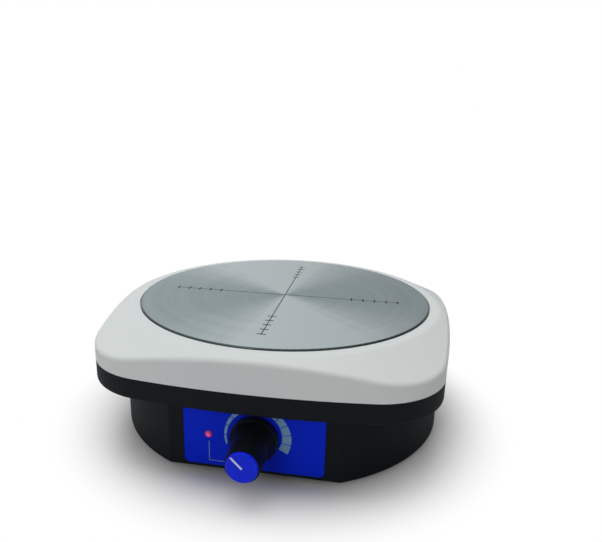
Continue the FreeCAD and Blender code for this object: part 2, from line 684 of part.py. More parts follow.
def build_control():
    """The potentiometer, its shaft and the knob, all on the axis through the panel."""
    def at(y):
        return (knob_x, y, knob_z)

    bush_end = label_face - "bushLength"
    pot_depth = size("potDepth")
    case = fuse("pot_shape", cylinder("pot_can", "potDiameter", pot_depth, at(panel_inside), "+Y"),
                cylinder("pot_bush", bush_diameter, panel_inside - bush_end, at(panel_inside), "-Y"))
    bore = size("shaftDiameter") + size("runningGap") * 2
    piece("potentiometer_case", cut(
        "pot_case", case,
        cylinder("pot_bore", bore, long_cut, at(bush_end - overrun), "+Y"),
        cylinder("pot_cavity", size("potDiameter") - size("potWall") * 2, pot_depth,
                 at(panel_inside + "potWall"), "+Y")))
    back_y = panel_inside + pot_depth
    pins = [block(f"pot_pin_{i}", (1.2, 0.8, knob_z - board_top),
                  (knob_x + size("potPinPitch") * (i - 1), back_y + 0.8, board_top)) for i in range(3)]
    back_disc = cylinder("pot_back_disc", "potDiameter", "potBack", at(back_y), "+Y")
    piece("potentiometer_back", fuse("pot_back", back_disc, *pins))
    nut = hexagon("bush_hex", "nutAcross", "nutThickness", at(label_face), "-Y")
    piece("bush_nut", cut("bush_nut_shape", nut, cylinder("bush_nut_bore", bush_diameter, long_cut,
                                                          at(label_face - long_cut / 2), "+Y")))

    knob_back = label_face - "knobGap"
    knob_front = panel_y - "knobReach"
    collet_back = bush_end - 0.6
    shaft_end = knob_front + 4.5
    wiper_y = panel_inside + 3
    piece("control_shaft", cylinder("pot_shaft", "shaftDiameter", wiper_y + 3.5 - shaft_end,
                                    at(wiper_y + 3.5), "-Y"))
    wiper = fuse("wiper_shape", ring("wiper_disc", 12, "shaftDiameter", 1.5, at(wiper_y), "+Y"),
                 block("wiper_finger", (1.6, 1.5, 3), (knob_x, wiper_y + 0.75, knob_z + 4)))
    piece("control_wiper", wiper)

    body = new_body("knob_shape")
    profile = new_sketch(body, "knob_profile")
    shoulder = knob_back - "skirtThickness"
    web = collet_back
    well = knob_front + 8.5
    bore_radius = size("colletDiameter") / 2
    well_radius = size("capDiameter") / 2 - 1.1
    nut_radius = bush_diameter / 2 + 3.5
    skirt = size("skirtDiameter") / 2
    chamfered = skirt - "skirtRound"
    polygon_sketch(profile, [
        (nut_radius, knob_back), (chamfered, knob_back), (skirt, knob_back - "skirtRound"),
        (skirt, shoulder + "skirtRound"), (chamfered, shoulder),
        (size("knobBase") / 2, shoulder - "flareLength"), (size("knobTip") / 2, knob_front),
        (well_radius, knob_front), (well_radius, well), (bore_radius, well), (bore_radius, web),
        (nut_radius, web)])
    turn(body, profile, "Revolution")
    place(body, (knob_x, 0, knob_z))
    piece("knob_body", body)

    collet = fuse("collet_shape", cylinder("collet_barrel", "colletDiameter", web - well, at(web), "-Y"),
                  cylinder("collet_thread", "colletThread", size("colletNutThickness") + 0.6, at(well), "-Y"))
    piece("knob_collet", cut("collet_bored", collet,
                             cylinder("collet_bore", "shaftDiameter", long_cut, at(web + overrun), "-Y"),
                             block("collet_slit", (0.8, 6, 12), (knob_x, well, knob_z - 6))))
    piece("collet_nut", ring("collet_nut_shape", "colletNut", "colletThread", "colletNutThickness",
                             at(well), "-Y"))
    rim = cylinder("cap_rim", "capDiameter", size("capThickness") - 0.5, at(knob_front), "-Y")
    face = cone("cap_face", "capDiameter", size("capDiameter") - 1.2, 0.5,
                at(knob_front - "capThickness" + 0.5), "-Y")
    spigot = ring("cap_spigot", well_radius * 2, well_radius * 2 - 2, 3, at(knob_front), "+Y")
    piece("knob_cap", fuse("knob_cap_shape", rim, face, spigot))


# ------------------------------------------------------------------------------- motor and its mount
motor_top = size("motorTop")
motor_bottom = motor_top - "motorLength"
cap_top = motor_bottom + "endCap"
boss_bottom = motor_bottom - 2
bearing_bore = size("motorShaft") + size("runningGap") * 2
can_bore = size("motorDiameter") - size("canWall") * 2
field_bore = can_bore - size("fieldThickness") * 2
armature_diameter = field_bore - size("armatureGap") * 2
bracket_top = motor_top + "bracketThickness"
rotor_base = plate_under - "rotorGap" - "magnetThickness" - "yokeThickness"
rotor_depth = size("magnetThickness") + "yokeThickness" - "magnetProud"
hub_bottom = rotor_base - "hubFlangeThickness" - 3
shaft_top = rotor_base + 5.5


def centred(z):
    return (0, 0, z)


def build_motor():
    boss_top = bracket_top
    bearing_top = boss_top - 0.5
    bearing_seat = bearing_top - "bearingLength"
    can = cut("can_shell", cylinder("can_outer", "motorDiameter", motor_top - cap_top, centred(cap_top)),
              cylinder("can_inner", can_bore, motor_top - cap_top, centred(cap_top - "canWall")))
    nose = cylinder("can_nose", "bearingBoss", boss_top - bearing_seat + 1, centred(bearing_seat - 1))
    screw_x = size("motorScrewSpacing") / 2
    mount_holes = [cylinder(f"can_hole_{tag}", boss_hole, 4, (screw_x * sign, 0, motor_top - 2))
                   for tag, sign in (("left", -1), ("right", 1))]
    piece("motor_can", cut(
        "motor_can_shape", fuse("can_with_nose", can, nose),
        cylinder("nose_bearing_bore", "bearingDiameter", 10, centred(bearing_seat)),
        cylinder("nose_shaft_hole", size("motorShaft") + 2, 20, centred(bearing_seat - 8)),
        *mount_holes))
    brush_base = cap_top + 1.3
    brush_top = brush_base + 3
    cap = fuse("end_cap_shape", cylinder("end_cap_disc", "motorDiameter", "endCap", centred(motor_bottom)),
               cylinder("end_cap_boss", "bearingBoss", 3, centred(boss_bottom)),
               *[block(f"brush_rest_{tag}", (5, 5, 1.8), (9 * sign, 0, cap_top - 0.5))
                 for tag, sign in (("left", -1), ("right", 1))])
    bearing_floor = cap_top - "bearingLength"
    piece("motor_end_cap", cut("motor_end_cap_shape", cap,
                               cylinder("end_cap_bore", "bearingDiameter", 20, centred(bearing_floor))))
    for node, base in (("upper_bearing", bearing_seat), ("lower_bearing", bearing_floor)):
        piece(node, ring(f"{node}_bush", "bearingDiameter", bearing_bore, "bearingLength", centred(base)))
    piece("motor_terminals", group("terminal_set", *[
        block(f"terminal_{tag}", (0.8, 3, 3.5), (9 * sign, 0, motor_bottom - 3.5))
        for tag, sign in (("left", -1), ("right", 1))]))

    magnet_base = cap_top + 7
    liner = ring("field_ring", can_bore - 0.1, field_bore, 13, centred(magnet_base))
    piece("field_magnets", cut("field_magnet_pair", liner,
                               block("field_gap", (14, "motorDiameter", 15), (0, 0, magnet_base - 1))))
    core_base = magnet_base + 1
    core_top = core_base + 11
    core = ring("core_ring", armature_diameter, "motorShaft", core_top - core_base, centred(core_base))
    slots = []
    for i in range(3):
        slot = block(f"core_slot_{i}", (9, 2, 20), (armature_diameter / 2 - 2.8, 0, core_base - 1))
        turned = doc.addObject("Part::Compound", f"core_slot_turned_{i}")
        turned.Links = [slot]
        turned.Placement = Placement(Vector(), Rotation(Vector(0, 0, 1), 120 * i))
        slots.append(turned)
    piece("armature_core", cut("armature_core_shape", core, *slots))
    winding = armature_diameter - 6
    lower = ring("winding_lower", winding, "motorShaft", 2.2, centred(core_base - 2.2))
    upper = ring("winding_upper", winding, "motorShaft", 1.8, centred(core_top))
    piece("armature_windings", group("armature_winding_pair", lower, upper))
    commutator_base = cap_top + 0.5
    piece("commutator", ring("commutator_shape", "commutatorDiameter", "motorShaft",
                             core_base - 2.2 - commutator_base, centred(commutator_base)))
    brush_gap = size("commutatorDiameter") + size("runningGap") * 2
    brush_bar = block("brush_bar", (size("commutatorDiameter") + 15, 3, brush_top - brush_base),
                      centred(brush_base))
    piece("motor_brushes", cut("brush_pair", brush_bar,
                               cylinder("brush_relief", brush_gap, long_cut, centred(brush_base - 5))))
    shaft_bottom = bearing_floor + 0.5
    piece("motor_shaft", cylinder("motor_shaft_rod", "motorShaft", shaft_top - shaft_bottom,
                                  centred(shaft_bottom)))

    plate = block("bracket_plate", ("bracketLength", "bracketWidth", "bracketThickness"), centred(motor_top))
    openings = [cylinder("bracket_nose_hole", size("bearingBoss") + 0.6, 10, centred(motor_top - 2))]
    dampers = []
    bracket_screws = []
    for tag, x, y in at_corners("pillarSpacingX", "pillarSpacingY"):
        openings.append(cylinder(f"bracket_hole_{tag}", screw_hole, 10, (x, y, motor_top - 2)))
        dampers.append(ring(f"damper_{tag}", size("bossDiameter") + 1, screw_hole, "damperThickness",
                            (x, y, pillar_top)))
        bracket_screws.append(screw(f"bracket_screw_{tag}", "bracketScrewLength",
                                    (x, y, bracket_top), "-Z"))
    motor_screws = []
    for tag, sign in (("left", -1), ("right", 1)):
        x = screw_x * sign
        openings.append(cylinder(f"bracket_motor_hole_{tag}", screw_hole, 10, (x, 0, motor_top - 2)))
        motor_screws.append(screw(f"motor_screw_{tag}", size("bracketThickness") + 2,
                                  (x, 0, bracket_top), "-Z"))
    piece("motor_bracket", cut("motor_bracket_shape", plate, *openings))
    piece("motor_dampers", group("damper_set", *dampers))
    piece("bracket_screws", group("bracket_screw_set", *bracket_screws))
    piece("motor_screws", group("motor_screw_set", *motor_screws))


def build_magnet_rotor():
    base = rotor_base
    hub_height = base + 6 - hub_bottom
    hub = fuse("hub_shape", cylinder("hub_barrel", "hubDiameter", hub_height, centred(hub_bottom)),
               cylinder("hub_flange", "hubFlange", "hubFlangeThickness",
                        centred(base - "hubFlangeThickness")))
    screw_y = size("hubScrewSpacing") / 2
    hub_screw = 2
    through = [cylinder(f"hub_hole_{tag}", hub_screw, 10, (0, screw_y * sign, base - 5))
               for tag, sign in (("front", -1), ("back", 1))]
    set_z = hub_bottom + 1.5
    piece("rotor_hub", cut("rotor_hub_shape", hub,
                           cylinder("hub_bore", "motorShaft", 20, centred(hub_bottom - 1)),
                           cylinder("hub_set_hole", hub_screw, 10, (0, 0, set_z), "+X"), *through))
    set_start = size("motorShaft") / 2
    set_length = size("hubDiameter") / 2 - set_start - 0.3
    piece("hub_set_screw", cylinder("hub_set_screw_rod", hub_screw, set_length, (set_start, 0, set_z), "+X"))
    yoke_length = size("magnetSpacing") + "magnetDiameter"
    yoke_lengths = (yoke_length, "yokeWidth", "yokeThickness")
    bar = block("yoke_bar", yoke_lengths, centred(base))
    piece("rotor_yoke", cut("rotor_yoke_shape", bar,
                            cylinder("yoke_hub_hole", "hubDiameter", 10, centred(base - 2)),
                            *[cylinder(f"yoke_hole_{tag}", hub_screw, 10, (0, screw_y * sign, base - 5))
                              for tag, sign in (("front", -1), ("back", 1))]))
    magnet_base = base + "yokeThickness"
    magnet_x = size("magnetSpacing") / 2
    disc = cylinder("carrier_disc", "rotorDiameter", rotor_depth, centred(base))
    pockets = [cylinder(f"carrier_pocket_{tag}", "magnetDiameter", 20, (magnet_x * sign, 0, base - 1))
               for tag, sign in (("left", -1), ("right", 1))]
    pilots = [cylinder(f"carrier_pilot_{tag}", hub_screw, 6, (0, screw_y * sign, base))
              for tag, sign in (("front", -1), ("back", 1))]
    piece("magnet_carrier", cut(
        "magnet_carrier_shape", disc, *pockets, *pilots,
        cylinder("carrier_bore", "hubDiameter", 6, centred(base)),
        block("carrier_slot", yoke_lengths, centred(base))))
    piece("drive_magnets", group("magnet_pair", *[
        cylinder(f"magnet_{tag}", "magnetDiameter", "magnetThickness", (magnet_x * sign, 0, magnet_base))
        for tag, sign in (("left", -1), ("right", 1))]))
    small = []
    for tag, sign in (("front", -1), ("back", 1)):
        y = screw_y * sign
        foot = base - "hubFlangeThickness"
        small_head = cylinder(f"hub_screw_head_{tag}", 3.8, 1.4, (0, y, foot - 1.4))
        small.append(fuse(f"hub_screw_{tag}", small_head,
                          cylinder(f"hub_screw_shank_{tag}", hub_screw, 7, (0, y, foot))))
    piece("hub_screws", group("hub_screw_pair", *small))


# --------------------------------------------------------------------------- electronics and wiring
def build_electronics():
    half_x = size("boardLength") / 2
    board = block("board_slab", ("boardLength", "boardWidth", "boardThickness"), (0, board_y, "boardHeight"))
    corners = list(at_corners(board_hole_x, board_hole_y, board_y))
    piece("control_board", cut("control_board_shape", board, *[
        cylinder(f"board_screw_hole_{tag}", screw_hole, 6, (x, y, size("boardHeight") - 2))
        for tag, x, y in corners]))
    piece("board_screws", group("board_screw_set", *[
        screw(f"board_screw_{tag}", "boardScrewLength", (x, y, board_top), "-Z") for tag, x, y in corners]))
    back_edge = board_y + size("boardWidth") / 2
    connector_y = back_edge - 4
    piece("board_connector", block("connector_block", (26, 6, 6.5), (0, connector_y, board_top)))
    cans = [cylinder(f"capacitor_{i}", 8, 11, (half_x - 14, board_y - 5 + i * 10, board_top))
            for i in range(2)]
    piece("board_capacitors", group("capacitor_set", *cans))
    chips = [block("chip_driver", (10, 6.5, 2), (12, board_y - 1, board_top)),
             block("chip_timer", (5.5, 4, 1.6), (-2, board_y + 3, board_top)),
             block("chip_small", (3.5, 2, 1.2), (-12, board_y - 1, board_top))]
    piece("board_chips", group("chip_set", *chips))
    regulator_x = -half_x + 13
    case = block("regulator_case", (10, 4.5, 9), (regulator_x, board_y + 5, board_top))
    tab = block("regulator_tab", (10, 1.2, 15), (regulator_x, board_y + 7.6, board_top))
    piece("board_regulator", fuse("regulator_shape", case, tab))

    # wires from the motor, and from the power inlet under the motor, to the connector
    connector_back = connector_y + 3
    motor_wires = [wire(f"motor_wire_{tag}", "wireDiameter",
                        [(9 * sign, -1.5, motor_bottom - 2), (9 * sign, connector_back, motor_bottom - 2)])
                   for tag, sign in (("left", -1), ("right", 1))]
    piece("motor_leads", group("motor_wires", *motor_wires))
    jack_back = jack_face - "jackLength"
    low = floor_top + 1.8
    high = board_top + 3
    inlet_wires = [wire(f"inlet_wire_{tag}", "wireDiameter",
                        [(2 * sign, jack_back, jack_z), (2 * sign, jack_back - 6, jack_z),
                         (2 * sign, jack_back - 6, low), (2 * sign, back_edge + 2, low),
                         (2 * sign, back_edge + 2, high), (2 * sign, connector_back, high)])
                   for tag, sign in (("left", -1), ("right", 1))]
    piece("inlet_leads", group("inlet_wires", *inlet_wires))

    def at(y):
        return (0, y, jack_z)

    socket_depth = size("jackFlangeThickness") + "jackSocket"
    flange = cylinder("jack_flange", "jackFlange", "jackFlangeThickness", at(jack_face), "+Y")
    barrel = cylinder("jack_barrel", "jackDiameter", "jackLength", at(jack_face), "-Y")
    jack = fuse("jack_shape", flange, barrel)
    front = jack_face + "jackFlangeThickness"
    piece("power_inlet", cut("power_inlet_shape", jack,
                             cylinder("jack_socket", "jackBore", socket_depth + overrun,
                                      at(front + overrun), "-Y"),
                             cylinder("jack_pin_hole", "jackPin", socket_depth + 4, at(front), "-Y")))
    piece("inlet_pin", cylinder("jack_pin_rod", "jackPin", socket_depth + 3, at(front - 1), "-Y"))
    piece("inlet_nut", cut("inlet_nut_shape",
                           hexagon("inlet_hex", "inletNut", "inletNutThickness", at(jack_pad_face), "-Y"),
                           cylinder("inlet_nut_bore", "jackDiameter", long_cut,
                                    at(jack_pad_face - long_cut / 2), "+Y")))


def check_objects():
    """Stops the build at any object that did not recompute."""
    bad = [obj.Name for obj in doc.Objects if "Invalid" in obj.State or "Error" in obj.State]
    if bad:
        raise SystemExit(f"these objects failed to recompute: {bad}")


def write_pieces():
    doc.recompute()
    check_objects()
    os.makedirs("parts", exist_ok=True)
    for node, obj in pieces.items():
        shape = obj.Shape
        if shape.isNull() or not shape.isValid() or not shape.Solids:
            raise SystemExit(f"{node} has no valid solid")
        shape.exportStep(f"parts/{node}.step")
        print(f"{node}: {len(shape.Solids)} solids, {shape.Volume / 1000:.2f} cm3")


build_top_cover()
build_cover_tray()
build_lower_housing()
build_plate()
build_screws_and_feet()
build_label_and_lamp()
build_control()
build_motor()
build_magnet_rotor()
build_electronics()
write_pieces()
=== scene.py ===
import math

import bpy
from mathutils import Matrix, Vector


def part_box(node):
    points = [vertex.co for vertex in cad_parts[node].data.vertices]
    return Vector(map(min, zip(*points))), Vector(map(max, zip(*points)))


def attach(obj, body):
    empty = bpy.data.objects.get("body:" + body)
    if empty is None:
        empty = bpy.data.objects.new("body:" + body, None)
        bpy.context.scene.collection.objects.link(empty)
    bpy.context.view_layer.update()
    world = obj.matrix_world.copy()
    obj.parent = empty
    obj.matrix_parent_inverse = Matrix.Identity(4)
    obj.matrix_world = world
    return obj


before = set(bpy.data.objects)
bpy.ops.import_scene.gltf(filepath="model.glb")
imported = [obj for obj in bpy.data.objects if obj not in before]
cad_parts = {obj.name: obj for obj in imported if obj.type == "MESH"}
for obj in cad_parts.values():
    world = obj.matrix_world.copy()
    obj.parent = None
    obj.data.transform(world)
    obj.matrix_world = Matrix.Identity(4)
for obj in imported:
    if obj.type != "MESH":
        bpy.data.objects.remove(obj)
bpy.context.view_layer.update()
mm = 0.001


def say(words):
    print("stage:", words)


def boxOf(node):
    low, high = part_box(node)
    return Vector(low), Vector(high)


def middleOf(node):
    low, high = boxOf(node)
    return (low + high) / 2


# places that several pieces share, all read from the frame
plateLow, plateHigh = boxOf("top_plate")
plateTop = plateHigh.z
plateRadius = (plateHigh.x - plateLow.x) / 2
labelFace = boxOf("front_label")[0].y
capFace = boxOf("knob_cap")[0].y
panelFoot = boxOf("lower_housing")[0].z
lampMiddle = middleOf("status_lamp")
knobMiddle = middleOf("knob_body")


class Tree:
    # builds a node tree: a node's type, then its settings, then its sockets' values or links
    def __init__(self, nodeTree):
        self.nodeTree = nodeTree

    def add(self, kind, settings=None, **sockets):
        node = self.nodeTree.nodes.new(kind)
        for name, value in (settings or {}).items():
            setattr(node, name, value)
        for name, value in sockets.items():
            self.feed(self.socketOf(node, name), value)
        return node

    @staticmethod
    def socketOf(node, name):
        # in1, in2 ... count the sockets of nodes whose sockets share a name
        if name.startswith("in") and name[2:].isdigit():
            return node.inputs[int(name[2:])]
        return next(socket for socket in node.inputs
                    if socket.name.replace(" ", "").lower() == name.lower())

    def feed(self, socket, value):
        if isinstance(value, Flow):
            value = value.socket
        if isinstance(value, bpy.types.NodeSocket):
            self.nodeTree.links.new(value, socket)
        elif isinstance(value, tuple) and socket.type == "RGBA" and len(value) == 3:
            socket.default_value = (*value, 1.0)
        else:
            socket.default_value = value

    def flow(self, node, output=0):
        return Flow(self, node.outputs[output])

    def vector(self, x, y, z):
        return self.add("ShaderNodeCombineXYZ", None, X=x, Y=y, Z=z).outputs[0]

    def parts(self, vector):
        # a vector as three numbers
        node = self.add("ShaderNodeSeparateXYZ", None, Vector=vector)
        return [self.flow(node, axis) for axis in range(3)]


class Flow:
    # one number that varies over a surface, so that sums on it read as sums
    def __init__(self, tree, socket):
        self.tree = tree
        self.socket = socket

    def maths(self, operation, other=0.0, reflected=False):
        first, second = (other, self) if reflected else (self, other)
        node = self.tree.add("ShaderNodeMath", {"operation": operation}, in0=first, in1=second)
        return self.tree.flow(node)

    def __add__(self, other):
        return self.maths("ADD", other)

    def __radd__(self, other):
        return self.maths("ADD", other, True)

    def __sub__(self, other):
        return self.maths("SUBTRACT", other)

    def __rsub__(self, other):
        return self.maths("SUBTRACT", other, True)

    def __mul__(self, other):
        return self.maths("MULTIPLY", other)

    def __rmul__(self, other):
        return self.maths("MULTIPLY", other, True)

    def __truediv__(self, other):
        return self.maths("DIVIDE", other)

    def __rtruediv__(self, other):
        return self.maths("DIVIDE", other, True)

    def __pow__(self, other):
        return self.maths("POWER", other)

    def __rpow__(self, other):
        return self.maths("POWER", other, True)

    def below(self, limit, blur):
        # 1 under the limit and 0 over it, with a soft edge
        node = self.tree.add("ShaderNodeMapRange", {"interpolation_type": "SMOOTHSTEP"}, in0=self,
                             in1=limit - blur, in2=limit + blur, in3=1.0, in4=0.0)
        return self.tree.flow(node)


def reach(x, y):
    # how far a place lies from the middle
    return (x * x + y * y) ** 0.5


class Finish(Tree):
    # a material on Principled, with the patterns that most finishes here share
    def __init__(self, name, **constants):
        self.material = bpy.data.materials.new(name)
        self.material.use_nodes = True
        super().__init__(self.material.node_tree)
        self.shader = self.nodeTree.nodes["Principled BSDF"]
        self.place = self.add("ShaderNodeTexCoord").outputs["Object"]
        for name, value in constants.items():
            self.set(name, value)

    def set(self, name, value):
        self.feed(self.socketOf(self.shader, name), value)

    def noise(self, scale, detail=2.0, rough=0.5, stretch=(1, 1, 1)):
        mapping = self.add("ShaderNodeMapping", None, in0=self.place, in3=stretch)
        return self.noiseAt(mapping.outputs[0], scale, detail, rough)

    def noiseAt(self, place, scale=1.0, detail=2.0, rough=0.5):
        node = self.add("ShaderNodeTexNoise", None, Vector=place, Scale=scale, Detail=detail,
                        Roughness=rough)
        return self.flow(node)

    def blend(self, amount, first, second):
        node = self.add("ShaderNodeMix", {"data_type": "RGBA"}, in0=amount, in6=first, in7=second)
        return node.outputs[2]

    def bump(self, height, strength, distance):
        node = self.add("ShaderNodeBump", None, Strength=strength, Distance=distance, Height=height)
        self.set("Normal", node.outputs[0])


coverLook = {"shade": (0.80, 0.845, 0.835), "shadeLow": (0.76, 0.80, 0.80), "ior": 1.48,
             "cloud": 9.0, "cloudMiddle": 0.5, "cloudBlur": 0.3, "grain": 900.0,
             "rough": 0.36, "cloudRough": 0.08, "grainRough": 0.04,
             "bump": 0.05, "depth": 0.2 * mm}


def whiteMoulding():
    look = coverLook
    finish = Finish("whiteMoulding", IOR=look["ior"])
    cloud = finish.noise(look["cloud"], detail=3.0)
    grain = finish.noise(look["grain"], detail=1.0)
    patch = cloud.below(look["cloudMiddle"], look["cloudBlur"])
    finish.set("BaseColor", finish.blend(patch, look["shade"], look["shadeLow"]))
    finish.set("Roughness", look["rough"] + cloud * look["cloudRough"] + grain * look["grainRough"])
    finish.bump(grain, look["bump"], look["depth"])
    return finish.material


darkLook = {"shade": (0.0035, 0.0055, 0.0085), "shadeHigh": (0.007, 0.010, 0.014),
            "specular": 0.16, "grain": 1500.0, "grainShare": 0.6, "cloud": 14.0,
            "rough": 0.56, "grainRough": 0.10, "cloudRough": 0.06,
            "bump": 0.18, "depth": 0.12 * mm}


def darkMoulding():
    look = darkLook
    finish = Finish("darkMoulding", SpecularIORLevel=look["specular"])
    grain = finish.noise(look["grain"], rough=0.6)
    cloud = finish.noise(look["cloud"], detail=3.0)
    patch = grain * look["grainShare"] + cloud * (1 - look["grainShare"])
    finish.set("BaseColor", finish.blend(patch, look["shade"], look["shadeHigh"]))
    finish.set("Roughness", look["rough"] + grain * look["grainRough"] + cloud * look["cloudRough"])
    finish.bump(grain, look["bump"], look["depth"])
    return finish.material


# the shades of the brushed face, the rings that the brush leaves, the painted glints across them
# and the painted shade on the rim
steelLook = {"shade": (0.80, 0.90, 0.92), "shadeDark": (0.37, 0.47, 0.49),
             "shadeEdge": (0.10, 0.13, 0.13), "edge": 0.9 * mm, "edgeBlur": 0.3 * mm,
             "rings": 2600.0, "ringTurn": 1.2, "ringShare": 0.65, "bands": 160.0, "bandTurn": 0.6,
             "glint": 1.15, "glintTurn": math.radians(-72.0), "glintSharp": 2.0, "glintLow": 0.30,
             "rays": 9.0, "rayRings": 4.0, "rayLow": 0.55, "rayGain": 0.9,
             "rough": 0.28, "streakRough": 0.16, "bump": 0.16, "depth": 0.05 * mm}


def brushedPlate():
    # circular brushing: noise that changes fast outwards and slowly round
    look = steelLook
    finish = Finish("brushedPlate", Metallic=1.0)
    x, y = finish.parts(finish.place)[:2]
    radius = reach(x, y)
    angle = y.maths("ARCTAN2", x)
    polar = finish.vector(radius * look["rings"], angle * look["ringTurn"], 0.0)
    rings = finish.noiseAt(polar, detail=3.0, rough=0.65)
    broad = finish.vector(radius * look["bands"], angle * look["bandTurn"], 0.0)
    bands = finish.noiseAt(broad)
    streak = rings * look["ringShare"] + bands * (1 - look["ringShare"])
    # painted highlights: the two wide glints that circular brushing throws, opposite each other and
    # split into rays, are painted into the base colour, and the plate away from them is painted
    # darker
    lobe = ((angle - look["glintTurn"]) * 2.0).maths("COSINE") * 0.5 + 0.5
    fan = finish.vector(radius * look["rayRings"], angle * look["rays"], 0.0)
    rays = look["rayLow"] + finish.noiseAt(fan) * look["rayGain"]
    # shine holds the brush streaks together with the painted highlight of the glints
    shine = streak + (lobe ** look["glintSharp"] * rays - look["glintLow"]) * look["glint"]
    brushed = finish.blend(shine, look["shadeDark"], look["shade"])
    # painted shade: the turned-down rim of the plate is painted darker than its face, to hold down
    # the light that its rounded edge catches
    face = radius.below(plateRadius - look["edge"] / 2, look["edgeBlur"])
    finish.set("BaseColor", finish.blend(face, look["shadeEdge"], brushed))
    finish.set("Roughness", look["rough"] + streak * look["streakRough"])
    finish.bump(streak, look["bump"], look["depth"])
    return finish.material


inkLook = {"blot": 1200.0, "darker": 0.8, "blotRough": 0.1, "bump": 0.05, "depth": 0.05 * mm}
inks = {
    "scaleInk": {"shade": (0.030, 0.042, 0.044), "rough": 0.5},
    "dialInk": {"shade": (0.21, 0.44, 0.70), "rough": 0.4},
    "lineInk": {"shade": (0.16, 0.27, 0.66), "rough": 0.4},
    "pointerInk": {"shade": (0.86, 0.91, 1.0), "rough": 0.4},
}


def printedInk(name):
    look = {**inkLook, **inks[name]}
    finish = Finish(name)
    blot = finish.noise(look["blot"])
    darker = tuple(part * look["darker"] for part in look["shade"])
    finish.set("BaseColor", finish.blend(blot, look["shade"], darker))
    finish.set("Roughness", look["rough"] + blot * look["blotRough"])
    finish.bump(blot, look["bump"], look["depth"])
    return finish.material


labelLook = {"shade": (0.003, 0.030, 0.86), "shadeLow": (0.0025, 0.024, 0.72), "specular": 0.06,
             "peel": 420.0, "cloud": 40.0, "rough": 0.34, "peelRough": 0.1,
             "bump": 0.04, "depth": 0.08 * mm}


def blueFilm():
    look = labelLook
    finish = Finish("blueFilm", SpecularIORLevel=look["specular"])
    peel = finish.noise(look["peel"])
    cloud = finish.noise(look["cloud"])
    finish.set("BaseColor", finish.blend(cloud, look["shade"], look["shadeLow"]))
    finish.set("Roughness", look["rough"] + peel * look["peelRough"])
    finish.bump(peel, look["bump"], look["depth"])
    return finish.material


lampLook = {"ior": 1.49, "glow": 0.55, "heart": 1.1 * mm, "heartBlur": 0.9 * mm,
            "shade": (0.55, 0.05, 0.24), "shadeRim": (0.22, 0.004, 0.07),
            "glowShade": (0.75, 0.07, 0.34), "glowRim": (0.16, 0.002, 0.06),
            "rough": 0.18, "roughOutwards": 20.0}


def lampGlow():
    look = lampLook
    finish = Finish("lampGlow", IOR=look["ior"], EmissionStrength=look["glow"])
    x, y, z = finish.parts(finish.place)
    outwards = reach(x - lampMiddle.x, z - lampMiddle.z)
    heart = outwards.below(look["heart"], look["heartBlur"])
    finish.set("BaseColor", finish.blend(heart, look["shadeRim"], look["shade"]))
    finish.set("EmissionColor", finish.blend(heart, look["glowRim"], look["glowShade"]))
    finish.set("Roughness", look["rough"] + outwards * look["roughOutwards"])
    return finish.material


# plain plastics and rubbers: what they share, then what each slot of the record has of its own
mouldedLook = {"grain": 1400.0, "bump": 0.1, "shine": 0.5, "cloud": 30.0, "lighter": 1.35,
               "lift": 0.003, "grainRough": 0.12, "cloudRough": 0.04, "depth": 0.1 * mm}
mouldings = {
    "black_gasket": {"name": "blackGasket", "shade": (0.012, 0.012, 0.013), "rough": 0.6},
    "foot_rubber": {"name": "footRubber", "shade": (0.018, 0.018, 0.019), "rough": 0.72,
                    "grain": 900.0, "bump": 0.2},
    "wire_black": {"name": "wireSleeve", "shade": (0.02, 0.02, 0.021), "rough": 0.45},
    "pot_board": {"name": "phenolicBoard", "shade": (0.26, 0.15, 0.06), "rough": 0.6},
    "knob_black": {"name": "knobBlack", "shade": (0.0022, 0.0030, 0.0034), "rough": 0.40,
                   "grain": 1700.0, "bump": 0.12, "shine": 0.16},
    "cap_blue": {"name": "capBlue", "shade": (0.003, 0.020, 0.80), "rough": 0.38,
                 "grain": 1900.0, "bump": 0.05, "shine": 0.15},
    "motor_plastic": {"name": "motorPlastic", "shade": (0.02, 0.02, 0.022), "rough": 0.5},
    "ferrite": {"name": "groundFerrite", "shade": (0.04, 0.04, 0.045), "rough": 0.5},
    "carbon": {"name": "brushCarbon", "shade": (0.02, 0.02, 0.02), "rough": 0.6},
    "carrier_plastic": {"name": "carrierNylon", "shade": (0.6, 0.59, 0.55), "rough": 0.5},
    "board_green": {"name": "boardGreen", "shade": (0.012, 0.11, 0.035), "rough": 0.35},
    "chip_black": {"name": "chipBlack", "shade": (0.015, 0.015, 0.017), "rough": 0.5},
    "capacitor_sleeve": {"name": "capacitorSleeve", "shade": (0.01, 0.015, 0.07), "rough": 0.3},
    "connector_white": {"name": "connectorNylon", "shade": (0.74, 0.72, 0.64), "rough": 0.5},
    "jack_black": {"name": "jackBlack", "shade": (0.014, 0.014, 0.015), "rough": 0.45},
}


def mouldedFinish(own):
    # a fine grain, slightly lighter on its high spots
    look = {**mouldedLook, **own}
    finish = Finish(look["name"], SpecularIORLevel=look["shine"])
    grain = finish.noise(look["grain"])
    cloud = finish.noise(look["cloud"])
    lighter = tuple(min(1.0, part * look["lighter"] + look["lift"]) for part in look["shade"])
    finish.set("BaseColor", finish.blend((grain + cloud) * 0.5, look["shade"], lighter))
    finish.set("Roughness", look["rough"] + grain * look["grainRough"] - cloud * look["cloudRough"])
    finish.bump(grain, look["bump"], look["depth"])
    return finish.material


